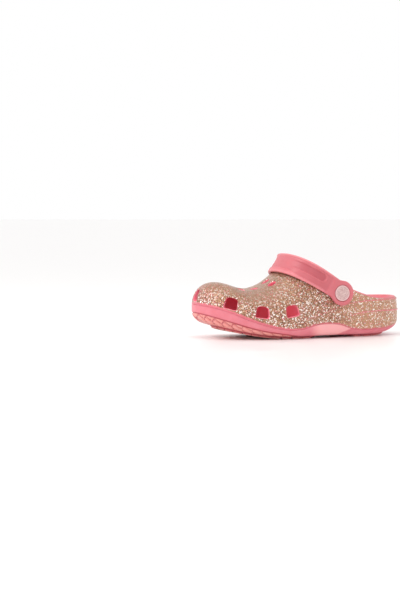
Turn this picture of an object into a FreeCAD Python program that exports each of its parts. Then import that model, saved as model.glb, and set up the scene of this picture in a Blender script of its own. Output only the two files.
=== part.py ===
import FreeCAD, Part
import bisect
import math
import os

# Child's foam garden clog, left foot: a hollow moulded upper on a one-piece sole, two glued tread pads,
# and a heel strap that swings on two snap rivets.
# Millimetres. +X points to the toe, +Y to the outer (lateral) side of the foot, +Z up.
# The origin is on the ground, in the middle of the clog's length and width.
# Below, "x" is a station counted from the back of the heel, and "row" moves it to the origin.

V = FreeCAD.Vector

# ---- driving dimensions -------------------------------------------------------------------------
LENGTH = 190.0            # back of heel to tip of toe
WALL = 4.0                # foam upper and sidewall, film included
FILM = 0.5                # glitter film moulded over the outside of the upper
TREAD = 2.2               # height of the tread pads under the sole
GLUE_LINE = 0.04          # gap between parts that are bonded face to face

PIVOT_X = 69.0            # strap rivets, from the back of the heel
PIVOT_Z = 39.0
PIVOT_MIDDLE_Y = 2.3      # halfway between the two rivets
SEAT_HALF = 32.7          # from there out to the flat seats that the strap's ends turn on
SEAT_R = 8.0
SEAT_DEPTH = 5.8          # length of the rivet hole through seat and wall

STRAP_LEAN = 32.0         # degrees above horizontal, with the strap lying on the instep
STRAP_THICK = 2.8
STRAP_END_R = 10.8
END_GAP = 0.2             # strap end to its seat

BUTTON_R = 6.8
RECESS_R = 7.2            # round recess in the strap end that the button sits in
RECESS_DEPTH = 1.5
BUTTON_THICK = 1.7
SHANK_R = 2.9
RUNNING = 0.08            # radial clearance of the strap on the shank
CAP_R = 6.5
CAP_THICK = 1.9
CAP_ROOM = 0.3            # radial room round the snap cap where the wall is faced off for it
INLAY_R = 5.7
INLAY_THICK = 0.5

ROUND_VENT_R = 3.5
TREAD_INSET = 1.2         # tread pads to the edge of the sole
GROOVE_WIDTH = 1.2
GROOVE_DEPTH = 1.3
GROOVE_PITCH = 9.5
GROOVE_ANGLE = 32.0
COLUMNS = 72              # points round each ring of the body


# ---- smooth curves through a few stations ---------------------------------------------------------
def smooth(stations):
    """Natural cubic spline through (x, value) stations, as a function of x."""
    xs = [s[0] for s in stations]
    ys = [s[1] for s in stations]
    n = len(xs)
    bend = [0.0] * n
    sweep = [0.0] * n
    for i in range(1, n - 1):
        before, after = xs[i] - xs[i - 1], xs[i + 1] - xs[i]
        pivot = 2 * (before + after) - before * sweep[i - 1]
        sweep[i] = after / pivot
        turn = 6 * ((ys[i + 1] - ys[i]) / after - (ys[i] - ys[i - 1]) / before)
        bend[i] = (turn - before * bend[i - 1]) / pivot
    for i in range(n - 2, 0, -1):
        bend[i] -= sweep[i] * bend[i + 1]

    def value(x):
        i = min(max(bisect.bisect_right(xs, x) - 1, 0), n - 2)
        h = xs[i + 1] - xs[i]
        a, b = (xs[i + 1] - x) / h, (x - xs[i]) / h
        return a * ys[i] + b * ys[i + 1] + ((a**3 - a) * bend[i] + (b**3 - b) * bend[i + 1]) * h * h / 6

    return value


def rise(run, height):
    """Height of an arc that leaves the ground tangentially and has climbed to height after run."""
    radius = (run * run + height * height) / (2 * height)
    return lambda d: radius - math.sqrt(radius * radius - d * d)


# Plan: half widths each side of a spine that drifts inwards towards the big toe.
half_lateral = smooth([(0, 30.5), (30, 31), (62, 33), (92, 37.5), (120, 42), (142, 43), (166, 42.5), (190, 39)])
half_medial = smooth([(0, 29.5), (30, 29.5), (62, 29.8), (92, 32.5), (120, 38.5), (142, 41), (166, 41), (190, 38)])
spine_y = smooth([(0, -0.5), (50, 0), (100, 0), (140, -1.6), (165, -3.6), (190, -6)])
# Side: the height of the widest line, the rise above it, and the profile curves.
widest_z = smooth([(0, 17), (40, 17), (80, 16.5), (118, 15.5), (148, 18), (170, 22), (190, 27)])
crown_rise = smooth([(0, 55), (40, 58), (75, 61), (92, 60), (105, 51), (118, 39), (131, 30.4), (144, 26.8),
                     (156, 28.6), (168, 33.6), (180, 36.6), (190, 37)])
side_squareness = smooth([(0, 2.5), (40, 2.8), (70, 3.0), (100, 2.5), (125, 2.25), (190, 2.25)])
collar_z = smooth([(0, 35.4), (14, 34.7), (26, 34.9), (38, 36.6), (50, 40.2), (62, 45.4), (76, 54), (90, 63),
                   (102, 71.2), (120, 84)])
parting_z = smooth([(0, 11), (12, 8.2), (28, 6.6), (46, 6.3), (57, 7.6), (68, 11.2), (80, 12.6), (92, 12),
                    (104, 9.4), (116, 8), (128, 9.2), (142, 12.6), (156, 17.4), (172, 24.4), (190, 29.5)])
footbed_z = smooth([(0, 14.5), (20, 11.8), (50, 11.6), (75, 13.2), (100, 11.2), (125, 10.2), (150, 13.2),
                    (170, 19), (190, 27)])

HEEL_FLAT, TOE_FLAT = 34.0, 112.0     # the ground contact runs between these stations
HEEL_RISE, TOE_RISE = 8.0, 14.5
heel_arc = rise(HEEL_FLAT, HEEL_RISE)
toe_arc = rise(LENGTH - TOE_FLAT, TOE_RISE)


def ground_z(x):
    """Underside of the treads: heel bevel, flat, and toe spring."""
    if x < HEEL_FLAT:
        return heel_arc(HEEL_FLAT - x)
    if x > TOE_FLAT:
        return toe_arc(x - TOE_FLAT)
    return 0.0


# ---- the body's outer skin -------------------------------------------------------------------------
# A lopsided egg with its axis upright through the foot opening. phi turns round it in plan, from 0 at the
# toe through the outer side to pi at the heel, and psi climbs from -pi/2 underneath to pi/2 at the top.
AXIS_X = 55.0
TOE_BLUNT, HEEL_BLUNT = 5.0, 2.6
END_ROUND = 2.3
UNDER_SQUARE, UNDER_ROUND, CROWN_ROUND = 4.2, 2.8, 2.2
UNDER_END = 4.0           # the underside keeps its depth nearer to the heel and toe than the crown
BELOW_GROUND = 3.0        # the egg reaches this far under the treads, and the treads are cut flat


def signed_power(value, power):
    return math.copysign(abs(value) ** power, value)


def skin(phi, psi):
    """A point of the outer skin, before it is moved to the origin."""
    level = math.cos(psi)
    reach, blunt = (LENGTH - AXIS_X, TOE_BLUNT) if math.cos(phi) >= 0 else (AXIS_X, HEEL_BLUNT)
    share = (abs(math.cos(phi)) * level) ** (2 / blunt)
    x = AXIS_X + math.copysign(reach * share, math.cos(phi))
    end = max(1 - share**blunt, 0.0) ** (1 / END_ROUND)
    turn = math.atan2(math.sin(psi), abs(math.sin(phi)) * level)
    half = half_lateral(x) if math.sin(phi) >= 0 else half_medial(x)
    if psi >= 0:
        across, up, height = side_squareness(x), CROWN_ROUND, crown_rise(x) * end
    else:
        across, up = UNDER_SQUARE, UNDER_ROUND
        height = (widest_z(x) - ground_z(x) + BELOW_GROUND) * end ** (END_ROUND / UNDER_END)
    y = spine_y(x) + math.copysign(half * end * max(math.cos(turn), 0.0) ** (2 / across), math.sin(phi))
    z = widest_z(x) + height * signed_power(math.sin(turn), 2 / up)
    return V(x, y, z)


def outline_arcs(steps=900):
    """Arc length round the widest outline against phi, starting at the back of the heel."""
    phis = []
    quarter = steps // 4
    for i in range(quarter):                                      # heel to the axis, outer side
        phis.append(math.pi - math.acos(math.cos(math.pi / 2 * i / quarter) ** (HEEL_BLUNT / 2)))
    for i in range(quarter + 1):                                  # the axis to the toe, outer side
        phis.append(math.acos(min(math.sin(math.pi / 2 * i / quarter) ** (TOE_BLUNT / 2), 1.0)))
    phis += [-p for p in reversed(phis[:-1])]                     # and back along the inner side
    arcs = [0.0]
    for before, after in zip(phis, phis[1:]):
        arcs.append(arcs[-1] + (skin(after, 0) - skin(before, 0)).Length)
    return arcs, phis


ARCS, PHIS = outline_arcs()
GIRTH = ARCS[-1]


def phi_at(arc):
    arc %= GIRTH
    i = min(max(bisect.bisect_right(ARCS, arc) - 1, 0), len(ARCS) - 2)
    share = (arc - ARCS[i]) / (ARCS[i + 1] - ARCS[i])
    return PHIS[i] + share * (PHIS[i + 1] - PHIS[i])


def outward(arc, psi):
    """Unit normal of the skin."""
    step, tilt = 0.4, 0.002
    round_it = skin(phi_at(arc + step), psi) - skin(phi_at(arc - step), psi)
    up_it = skin(phi_at(arc), psi + tilt) - skin(phi_at(arc), psi - tilt)
    return up_it.cross(round_it).normalize()


def at_depth(arc, psi, depth):
    return skin(phi_at(arc), psi) - outward(arc, psi) * depth


def psi_where(arc, profile, depth=0.0, low=-1.45, high=1.56, steps=240):
    """The first psi, going up, at which the skin at this depth rises above a side profile."""
    def over(psi):
        p = at_depth(arc, psi, depth)
        return p.z - profile(p.x)

    psi, step = low, (high - low) / steps
    while psi < high and over(psi + step) < 0:
        psi += step
    below, above = psi, psi + step
    for _ in range(24):
        middle = (below + above) / 2
        if over(middle) < 0:
            below = middle
        else:
            above = middle
    return (below + above) / 2


def rows_between(arc, psi_low, psi_high, shares, depth=0.0):
    """Points at these shares of the arc length up the skin between two psis."""
    fine = 90
    psis = [psi_low + (psi_high - psi_low) * i / fine for i in range(fine + 1)]
    points = [at_depth(arc, p, depth) for p in psis]
    run = [0.0]
    for a, b in zip(points, points[1:]):
        run.append(run[-1] + (b - a).Length)
    out = []
    for share in shares:
        goal = share * run[-1]
        i = min(max(bisect.bisect_right(run, goal) - 1, 0), fine - 1)
        f = (goal - run[i]) / (run[i + 1] - run[i])
        out.append(at_depth(arc, psis[i] + f * (psis[i + 1] - psis[i]), depth))
    return out


# ---- turning rings of points into solids --------------------------------------------------------------
ring_arcs = [GIRTH * i / COLUMNS for i in range(COLUMNS)]


def ring_wire(points):
    curve = Part.BSplineCurve()
    curve.interpolate(Points=points, PeriodicFlag=True, Parameters=[float(i) for i in range(len(points) + 1)])
    return Part.Wire([curve.toShape()])


def ring_faces(rings, ruled=False):
    return Part.makeLoft([ring_wire(r) for r in rings], False, ruled).Faces


def closed_solid(faces):
    shell = Part.makeShell(faces)
    shell.sewShape()
    solid = Part.makeSolid(shell)
    if solid.Volume < 0:
        solid.reverse()
    return solid


def side_prism(profile, low, high, above, reach=60.0):
    """Everything above (or below) a side profile, as wide as reach each side."""
    stations = [low + (high - low) * i / 48 for i in range(49)]
    curve = Part.BSplineCurve()
    curve.interpolate(Points=[V(x, -reach, profile(x)) for x in stations])
    far = 140.0 if above else -60.0
    start, end = V(low, -reach, profile(low)), V(high, -reach, profile(high))
    corners = [end, V(high, -reach, far), V(low, -reach, far), start]
    wire = Part.Wire([curve.toShape()] + [Part.makeLine(a, b) for a, b in zip(corners, corners[1:])])
    return Part.Face(wire).extrude(V(0, 2 * reach, 0))


def ground_prism(lift, above, reach=60.0):
    """Everything above (or below) the treads' underside lifted by this much; its middle is truly flat."""
    def point(x):
        return V(x, -reach, ground_z(x) + lift)

    low, high = -8.0, LENGTH
    far = 140.0 if above else -60.0
    edges = [Part.makeLine(point(HEEL_FLAT), point(TOE_FLAT))]
    for start, end in ((low, HEEL_FLAT), (TOE_FLAT, high)):
        curve = Part.BSplineCurve()
        curve.interpolate(Points=[point(start + (end - start) * i / 24) for i in range(25)])
        edges.insert(0 if end == HEEL_FLAT else 2, curve.toShape())
    corners = [point(high), V(high, -reach, far), V(low, -reach, far), point(low)]
    edges += [Part.makeLine(a, b) for a, b in zip(corners, corners[1:])]
    return Part.Face(Part.Wire(edges)).extrude(V(0, 2 * reach, 0))


def tub(depth, bottom_profile, top_z, rows=11, under=1.0):
    """The body filled in, at a depth under its skin, from just under a side profile up to a flat top."""
    columns = []
    for arc in ring_arcs:
        low = psi_where(arc, lambda x: bottom_profile(x) - under, depth)
        high = psi_where(arc, lambda x: top_z, depth)
        columns.append(rows_between(arc, low, high, [i / (rows - 1) for i in range(rows)], depth))
    rings = [[c[i] for c in columns] for i in range(rows)]
    rings[-1] = [V(p.x, p.y, top_z) for p in rings[-1]]
    foot = [V(p.x, p.y, -30) for p in rings[0]]
    faces = ring_faces(rings) + ring_faces([foot, rings[0]], ruled=True)
    faces += [Part.Face(ring_wire(foot)), Part.Face(ring_wire(rings[-1]))]
    return closed_solid(faces)


def collar_psi(arc):
    """Where the wall stops and its rim begins to round over."""
    return psi_where(arc, lambda x: collar_z(x) - WALL / 2, WALL / 2, low=0.0)


def wall_shell(outer_depth, inner_depth, round_rim, rows=13):
    """A layer of the upper's wall as a closed ring, from under the parting line up to the collar."""
    columns = []
    shares = [(i / (rows - 1)) ** 1.25 for i in range(rows)]
    for arc in ring_arcs:
        top = collar_psi(arc)
        low_out = psi_where(arc, lambda x: parting_z(x) - 2.0, outer_depth)
        low_in = psi_where(arc, lambda x: parting_z(x) - 2.0, inner_depth)
        out_side = rows_between(arc, low_out, top, shares, outer_depth)
        in_side = rows_between(arc, low_in, top, shares, inner_depth)
        rim = []
        if round_rim:
            centre = (out_side[-1] + in_side[-1]) / 2
            across = out_side[-1] - centre
            along = at_depth(arc, top + 0.01, WALL / 2) - at_depth(arc, top - 0.01, WALL / 2)
            along.normalize().multiply(across.Length)
            rim = [centre + across * math.cos(math.radians(a)) + along * math.sin(math.radians(a))
                   for a in (45, 90, 135)]
        columns.append(out_side + rim + list(reversed(in_side)))
    rings = [[c[i] for c in columns] for i in range(len(columns[0]))]
    if round_rim:
        faces = ring_faces(rings[:rows]) + ring_faces(rings[rows - 1:rows + 4])
        faces += ring_faces(rings[rows + 3:])
    else:
        faces = ring_faces(rings[:rows]) + ring_faces(rings[rows - 1:rows + 1], ruled=True)
        faces += ring_faces(rings[rows:])
    faces += ring_faces([rings[-1], rings[0]], ruled=True)
    return closed_solid(faces)


# ---- vents ------------------------------------------------------------------------------------------
# Side vents, from the rivet forwards: station, height of the middle, and how many degrees the heel end is
# tipped up. The inner side's stand between the outer side's, so that nothing shows through both.
OUTER_VENTS = [(117.4, 24.4, 10), (144.4, 23.8, -7), (170.4, 31.2, -14)]
INNER_VENTS = [(101, 25.6, 10), (127.7, 23.8, 0), (157.5, 27.4, -11)]
TOE_VENT_Z = 37.0
TOE_VENT_SHIFT = 6.0      # round the outline from the tip, to the inner side
VENT_FOOT, VENT_HEAD, VENT_HEIGHT = 12.4, 9.8, 9.6
# Round vents: station and the offset from the spine, in staggered rows.
ROUND_VENTS = [(125.5, -14), (125.5, 0), (125.5, 14), (139.5, -7.5), (139.5, 7.5), (153, -13), (153, 0), (153, 13)]


def arc_at_station(x, lateral):
    """Arc length round the outline to a station, on one side of the foot."""
    low, high = (0.0, GIRTH / 2) if lateral else (GIRTH, GIRTH / 2)
    for _ in range(40):
        middle = (low + high) / 2
        if skin(phi_at(middle), 0).x < x:
            low = middle
        else:
            high = middle
    return (low + high) / 2


def side_vent(arc, z, slope):
    """Cutter for one side vent: a tapered window with round shoulders, through the wall at this arc."""
    psi = psi_where(arc, lambda x: z, low=-1.2)
    place = at_depth(arc, psi, 0.0)
    out = outward(arc, psi)
    out = V(out.x, out.y, 0).normalize()
    half_foot, half_head, half_height = VENT_FOOT / 2, VENT_HEAD / 2, VENT_HEIGHT / 2
    corners = [V(-half_foot, -half_height, 0), V(half_foot, -half_height, 0),
               V(half_head, half_height, 0), V(-half_head, half_height, 0)]
    window = Part.Face(Part.makePolygon(corners + corners[:1])).extrude(V(0, 0, 20))
    uprights = [e for e in window.Edges if abs(e.tangentAt(e.FirstParameter).z) > 0.9]
    shoulders = [e for e in uprights if e.CenterOfMass.y > 0]
    window = window.makeFillet(3.4, shoulders)
    feet = [e for e in window.Edges if abs(e.tangentAt(e.FirstParameter).z) > 0.9
            and e.CenterOfMass.y < -half_height + 0.01]
    window = window.makeFillet(1.6, feet)
    window.translate(V(0, 0, -12))
    window.rotate(V(0, 0, 0), V(0, 0, 1), slope)
    side = V(0, 0, 1).cross(out)
    frame = FreeCAD.Matrix(side.x, 0, out.x, place.x, side.y, 0, out.y, place.y, 0, 1, 0, place.z, 0, 0, 0, 1)
    return window.transformGeometry(frame)


def crown_point(x, offset):
    """The skin above a plan position: station, and offset from the spine."""
    share = (x - AXIS_X) / (LENGTH - AXIS_X)
    end = (1 - share**TOE_BLUNT) ** (1 / END_ROUND)
    half = (half_lateral(x) if offset >= 0 else half_medial(x)) * end
    level = (1 - (abs(offset) / half) ** side_squareness(x)) ** (1 / CROWN_ROUND)
    return V(x, spine_y(x) + offset, widest_z(x) + crown_rise(x) * end * level)


def round_vent(x, offset):
    """Cutter for one round vent, square to the vamp."""
    place = crown_point(x, offset)
    forward = crown_point(x + 1, offset) - crown_point(x - 1, offset)
    across = crown_point(x, offset + 1) - crown_point(x, offset - 1)
    up = forward.cross(across).normalize()
    return Part.makeCylinder(ROUND_VENT_R, 16, place - up * 10, up)


def all_vents():
    cutters = []
    for stations, lateral in ((OUTER_VENTS, True), (INNER_VENTS, False)):
        for x, z, tip in stations:
            cutters.append(side_vent(arc_at_station(x, lateral), z, tip if lateral else -tip))
    cutters.append(side_vent(GIRTH / 2 + TOE_VENT_SHIFT, TOE_VENT_Z, 0))
    return cutters + [round_vent(x, offset) for x, offset in ROUND_VENTS]


# ---- upper ------------------------------------------------------------------------------------------
def along_y(radius, inner, outer, side):
    """A cylinder on the strap's axis, between two distances out from the middle of the foot."""
    start = V(PIVOT_X, PIVOT_MIDDLE_Y + side * inner, PIVOT_Z)
    return Part.makeCylinder(radius, outer - inner, start, V(0, side, 0))


def upper_parts():
    """Foam upper with its two strap seats, and the film over it."""
    foam = wall_shell(FILM, WALL, round_rim=True)
    film = wall_shell(0.0, FILM - 3 * GLUE_LINE, round_rim=False)
    above = side_prism(parting_z, -8, LENGTH + 8, above=True)
    foam, film = foam.common(above), film.common(above)
    for side in (1, -1):
        foam = foam.fuse(along_y(SEAT_R, SEAT_HALF - SEAT_DEPTH, SEAT_HALF, side))
        foam = foam.cut(along_y(SHANK_R + GLUE_LINE, SEAT_HALF - 20, SEAT_HALF + 5, side))
        foam = foam.cut(along_y(CAP_R + CAP_ROOM, SEAT_HALF - 20, SEAT_HALF - SEAT_DEPTH, side))
        film = film.cut(along_y(SEAT_R + GLUE_LINE, SEAT_HALF - 12, SEAT_HALF + 5, side))
    cutters = all_vents()
    return foam.cut(cutters), film.cut(cutters)


# ---- sole -------------------------------------------------------------------------------------------
HEEL_PAD = (2.0, 54.5)
TOE_PAD = (91.5, 188.0)


def sole_unit():
    """A sidewall ring up to the parting line, and a footbed inside the upper's wall that can stand higher."""
    above_treads = ground_prism(TREAD, above=True)
    inside = tub(WALL + GLUE_LINE, ground_z, 44.0)
    ring = tub(0.0, ground_z, 34.0).common(above_treads)
    ring = ring.common(side_prism(lambda x: parting_z(x) - GLUE_LINE, -8, LENGTH + 8, above=False))
    footbed = inside.common(above_treads).common(side_prism(footbed_z, -8, LENGTH + 8, above=False))
    return ring.cut(inside).fuse(footbed)


def tread_grooves():
    """Crossed diagonal grooves over the whole sole, as one cutter."""
    bars = []
    count = int(LENGTH / GROOVE_PITCH) + 4
    for tilt in (GROOVE_ANGLE, -GROOVE_ANGLE):
        for i in range(-2, count):
            bar = Part.makeBox(GROOVE_WIDTH, 180, 40, V(-GROOVE_WIDTH / 2, -90, -5))
            bar.rotate(V(0, 0, 0), V(0, 0, 1), tilt)
            bar.translate(V(i * GROOVE_PITCH, 0, 0))
            bars.append(bar)
    grooves = bars[0].multiFuse(bars[1:])
    return grooves.common(ground_prism(GROOVE_DEPTH, above=False))


def tread_pads():
    layer = tub(TREAD_INSET, ground_z, 34.0, under=0.3)
    layer = layer.common(ground_prism(0.0, above=True))
    layer = layer.common(ground_prism(TREAD - GLUE_LINE, above=False))
    grooves = tread_grooves()
    pads = []
    for start, end in (HEEL_PAD, TOE_PAD):
        pad = layer.common(Part.makeBox(end - start, 120, 60, V(start, -60, -10)))
        pads.append(pad.cut(grooves))
    return pads


# ---- strap ------------------------------------------------------------------------------------------
# Drawn flat: s forward from the rivet axis, y across the foot, n along the strap's width.
INNER_PATH = [(-11.5, SEAT_HALF + END_GAP), (9, SEAT_HALF + END_GAP), (18, 33.3), (27, 33.0), (35, 31.2),
              (42, 26.6), (46.8, 18.6), (49.1, 9.2), (49.7, 0)]
HALF_WIDTH = [(-12, 8.6), (12, 8.6), (24, 9.0), (40, 9.3), (60, 9.3)]
DROOP = [(-12, 0), (24, 0), (50, -1.2), (60, -1.5)]      # the arms bend down a little over the instep
BEAD = 1.9                # width of the raised edges
FACE_DROP = 0.55          # the face between them lies this much lower
PANEL_DROP = 1.15
PANEL = (23.2, 40.0, 3.2, 2.0)  # long sunk panel in each arm: from, to, half width, height of its middle


def strap_band(inside, outside):
    """The strap's length as a U-shaped band, between two distances out from its inner face."""
    half_path = [V(s, y, 0) for s, y in INNER_PATH]
    path = half_path + [V(p.x, -p.y, 0) for p in reversed(half_path[:-1])]
    guide = Part.BSplineCurve()
    guide.interpolate(Points=path, InitialTangent=V(1, 0, 0), FinalTangent=V(-1, 0, 0))
    steps = 60
    first, last = guide.FirstParameter, guide.LastParameter
    sides = []
    for distance in (inside, outside):
        points = []
        for i in range(steps + 1):
            t = first + (last - first) * i / steps
            tangent = guide.tangent(t)[0]
            points.append(guide.value(t) + V(-tangent.y, tangent.x, 0) * distance)
        side = Part.BSplineCurve()
        side.interpolate(Points=points)
        sides.append((side.toShape(), points))
    (near, near_points), (far, far_points) = sides
    ends = [Part.makeLine(near_points[-1], far_points[-1]), Part.makeLine(far_points[0], near_points[0])]
    band = Part.Face(Part.Wire([near, ends[0], far, ends[1]]))
    band.translate(V(0, 0, -15))
    return band.extrude(V(0, 0, 30))


def arm_outline(inset, start):
    """The strap seen from the side, as a plate across the whole foot; it narrows towards the rivet."""
    edge, droop = smooth(HALF_WIDTH), smooth(DROOP)
    stations = [start + (60 - start) * i / 30 for i in range(31)]
    sides, ends = [], []
    for sign in (1, -1):
        points = [V(s, -50, droop(s) + sign * (edge(s) - inset)) for s in stations]
        side = Part.BSplineCurve()
        side.interpolate(Points=points)
        sides.append(side.toShape())
        ends.append((points[0], points[-1]))
    wire = Part.Wire([sides[0], Part.makeLine(ends[0][1], ends[1][1]), sides[1],
                      Part.makeLine(ends[1][0], ends[0][0])])
    return Part.Face(wire).extrude(V(0, 100, 0))


def stadium(start, end, half, middle):
    """A long plate across the whole foot with round ends."""
    slot = Part.makeBox(end - start, 100, 2 * half, V(start, -50, middle - half))
    ends = [Part.makeCylinder(half, 100, V(s, -50, middle), V(0, 1, 0)) for s in (start, end)]
    return slot.multiFuse(ends)


def strap():
    outline = arm_outline(0, 0).fuse(Part.makeCylinder(STRAP_END_R, 100, V(0, -50, 0), V(0, 1, 0)))
    outline = outline.removeSplitter()
    shoulders = [e for e in outline.Edges if abs(e.Length - 100) < 0.1 and 4 < e.CenterOfMass.x < 9]
    outline = outline.makeFillet(9.0, shoulders)
    body = strap_band(0, STRAP_THICK).common(outline)
    face = arm_outline(BEAD, 13.2).common(strap_band(STRAP_THICK - FACE_DROP, STRAP_THICK + 4))
    panel = stadium(*PANEL).common(strap_band(STRAP_THICK - PANEL_DROP, STRAP_THICK + 4))
    body = body.cut(face).cut(panel)
    face_y = SEAT_HALF + END_GAP + STRAP_THICK
    for side in (1, -1):
        body = body.cut(Part.makeCylinder(SHANK_R + RUNNING, 20, V(0, side * 25, 0), V(0, side, 0)))
        body = body.cut(Part.makeCylinder(RECESS_R, 5, V(0, side * (face_y - RECESS_DEPTH), 0), V(0, side, 0)))
    body.rotate(V(0, 0, 0), V(0, 1, 0), -STRAP_LEAN)
    body.translate(V(PIVOT_X, PIVOT_MIDDLE_Y, PIVOT_Z))
    return body


# ---- rivets -----------------------------------------------------------------------------------------
def rivet(side):
    """Outer button with its shank, the foil inlay in its face, and the snap cap inside the shoe."""
    under = SEAT_HALF + END_GAP + STRAP_THICK - RECESS_DEPTH + 0.1
    face = under + BUTTON_THICK
    tip = SEAT_HALF - SEAT_DEPTH - CAP_THICK + 0.5
    button = along_y(BUTTON_R, under, face, side)
    rim = [e for e in button.Edges if abs((e.CenterOfMass.y - PIVOT_MIDDLE_Y) * side - face) < 0.01]
    button = button.makeFillet(0.5, [e for e in rim if e.Length > 10])
    button = button.cut(along_y(INLAY_R + GLUE_LINE, face - INLAY_THICK, face + 1, side))
    button = button.fuse(along_y(SHANK_R, tip, under + 0.2, side))
    inlay = along_y(INLAY_R, face - INLAY_THICK + GLUE_LINE, face, side)
    cap_face = SEAT_HALF - SEAT_DEPTH - GLUE_LINE
    cap = along_y(CAP_R, cap_face - CAP_THICK, cap_face, side)
    inside = [e for e in cap.Edges if abs((e.CenterOfMass.y - PIVOT_MIDDLE_Y) * side - cap_face + CAP_THICK) < 0.01]
    cap = cap.makeFillet(0.6, [e for e in inside if e.Length > 10])
    cap = cap.cut(along_y(SHANK_R + GLUE_LINE, tip - 0.1, cap_face + 1, side))
    return button.removeSplitter(), inlay, cap


def build():
    foam, film = upper_parts()
    heel_pad, toe_pad = tread_pads()
    shapes = {"upper_foam": foam, "glitter_film": film, "sole_unit": sole_unit(), "heel_tread": heel_pad,
              "forefoot_tread": toe_pad, "heel_strap": strap()}
    for side, name in ((1, "outer"), (-1, "inner")):
        button, inlay, cap = rivet(side)
        shapes["rivet_button_" + name] = button
        shapes["button_inlay_" + name] = inlay
        shapes["rivet_snap_cap_" + name] = cap
    return shapes


def main():
    os.makedirs("parts", exist_ok=True)
    for name, shape in build().items():
        shape.translate(V(-LENGTH / 2, 0, 0))
        shape.exportStep("parts/" + name + ".step")
        box = shape.BoundBox
        print(name, len(shape.Solids), shape.isValid(), round(shape.Volume), "x %.1f %.1f y %.1f %.1f z %.1f %.1f"
              % (box.XMin, box.XMax, box.YMin, box.YMax, box.ZMin, box.ZMax))


if __name__ == "__main__":
    main()
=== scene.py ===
# %% [markdown]
# # A child's moulded clog with a swinging heel strap
# The real thing is a foam shoe that comes out of one mould: a vented upper under a film of glitter, and a
# pink sole with cut treads. A strap snaps onto it with two rivets. The lesson keeps the sizes of the packed
# frame and rebuilds every surface with soft moulded edges, relief lines, treads and proper finishes.

# %% Load the fixed frame
import math
import time

import bmesh
import bpy
import numpy as np
from mathutils import Matrix, Vector
from mathutils.bvhtree import BVHTree


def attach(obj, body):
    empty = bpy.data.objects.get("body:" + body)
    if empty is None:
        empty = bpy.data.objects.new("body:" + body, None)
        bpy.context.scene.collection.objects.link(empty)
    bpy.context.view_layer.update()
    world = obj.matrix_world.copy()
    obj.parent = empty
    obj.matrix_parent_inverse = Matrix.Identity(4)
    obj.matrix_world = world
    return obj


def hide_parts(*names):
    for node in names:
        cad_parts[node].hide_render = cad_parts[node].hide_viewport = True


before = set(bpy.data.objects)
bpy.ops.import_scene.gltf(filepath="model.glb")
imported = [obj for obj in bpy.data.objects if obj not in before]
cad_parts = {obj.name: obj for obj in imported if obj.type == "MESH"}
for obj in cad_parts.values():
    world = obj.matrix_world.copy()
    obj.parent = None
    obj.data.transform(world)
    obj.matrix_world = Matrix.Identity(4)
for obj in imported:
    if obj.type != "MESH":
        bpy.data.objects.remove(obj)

started = time.time()
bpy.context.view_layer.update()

# %% [markdown]
# ## The body's form
# The upper and the sole share one outer skin, like an egg that is lopsided in plan and in profile. It could
# be pushed about by hand, but then two layers would never lie evenly on each other. A few curves of station
# and value describe it instead, in millimetres from the back of the heel, and every layer of the shoe is
# the same skin at another depth.

# %% Curves that steer the form
MM = 0.001
LENGTH = 190.0
WALL = 4.0


def smooth(stations):
    """A natural cubic spline through (station, value) pairs, for single numbers or arrays."""
    xs, ys = np.array(stations, float).T
    gaps = np.diff(xs)
    system, sides = np.eye(len(xs)), np.zeros(len(xs))
    for i in range(1, len(xs) - 1):
        system[i, i - 1:i + 2] = gaps[i - 1], 2 * (gaps[i - 1] + gaps[i]), gaps[i]
        sides[i] = 6 * ((ys[i + 1] - ys[i]) / gaps[i] - (ys[i] - ys[i - 1]) / gaps[i - 1])
    bend = np.linalg.solve(system, sides)

    def value(x):
        i = np.clip(np.searchsorted(xs, x, side="right") - 1, 0, len(xs) - 2)
        h = gaps[i]
        a, b = (xs[i + 1] - x) / h, (x - xs[i]) / h
        return a * ys[i] + b * ys[i + 1] + ((a**3 - a) * bend[i] + (b**3 - b) * bend[i + 1]) * h * h / 6

    return value


def step_between(x, low, high):
    """A soft step from 0 to 1."""
    t = np.clip((x - low) / (high - low), 0, 1)
    return t * t * (3 - 2 * t)


half_outer = smooth([(0, 30.5), (30, 31), (62, 33), (92, 37.5), (120, 42), (142, 43), (166, 42.5),
                     (190, 39)])
half_inner = smooth([(0, 29.5), (30, 29.5), (62, 29.8), (92, 32.5), (120, 38.5), (142, 41), (166, 41),
                     (190, 38)])
spine_y = smooth([(0, -0.5), (50, 0), (100, 0), (140, -1.6), (165, -3.6), (190, -6)])
widest_z = smooth([(0, 17), (40, 17), (80, 16.5), (118, 15.5), (148, 18), (170, 22), (190, 27)])
crown_rise = smooth([(0, 55), (40, 58), (75, 61), (92, 60), (105, 51), (118, 39), (131, 30.4), (144, 26.8),
                     (156, 28.6), (168, 33.6), (180, 36.6), (190, 37)])
side_squareness = smooth([(0, 2.5), (40, 2.8), (70, 3.0), (100, 2.5), (125, 2.25), (190, 2.25)])
collar_z = smooth([(0, 35.4), (14, 34.7), (26, 34.9), (38, 36.6), (50, 40.2), (62, 45.4), (76, 54), (90, 63),
                   (102, 71.2), (120, 84)])
parting_z = smooth([(0, 11), (12, 8.2), (28, 6.6), (46, 6.3), (57, 7.6), (68, 11.2), (80, 12.6), (92, 12),
                    (104, 9.4), (116, 8), (128, 9.2), (142, 12.6), (156, 17.4), (172, 24.4), (190, 29.5)])
footbed_z = smooth([(0, 14.5), (20, 11.8), (50, 11.6), (75, 13.2), (100, 11.2), (125, 10.2), (150, 13.2),
                    (170, 19), (190, 27)])

HEEL_FLAT, TOE_FLAT = 34.0, 112.0
HEEL_RISE, TOE_RISE = 8.0, 14.5
TREAD = 2.2


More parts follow.
